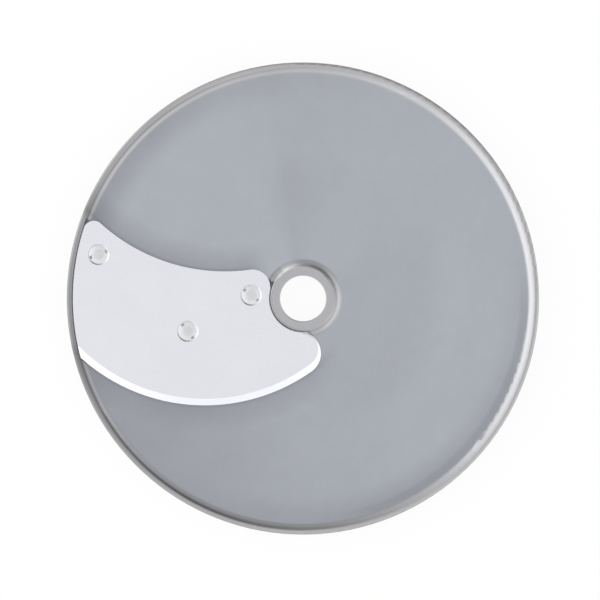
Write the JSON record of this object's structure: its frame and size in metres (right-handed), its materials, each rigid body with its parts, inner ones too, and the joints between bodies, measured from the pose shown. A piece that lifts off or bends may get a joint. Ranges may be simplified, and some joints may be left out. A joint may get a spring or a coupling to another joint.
{
  "type": "food processor disc",
  "caption": "Round slicing disc for a food processor: a cast plate with a raised rim and a bored hub carries a curved, bevelled blade over a throat.",
  "frame": {"origin": "bore axis, in the plane of the feet of the skirt and the hub that the disc stands on", "axes": "+Z along the bore axis, towards the side that carries the blade; -X towards the outer end of the blade"},
  "size_m": [0.19, 0.19, 0.0105],
  "materials": {
    "cast_aluminium": "satin, turned",
    "blade_steel": "finely ground, bright bevel",
    "screw_steel": "bright"
  },
  "bodies": {
    "root": {"disc": "cast_aluminium", "blade": "blade_steel", "outer_blade_screw": "screw_steel", "middle_blade_screw": "screw_steel", "inner_blade_screw": "screw_steel"}
  },
  "joints": []
}
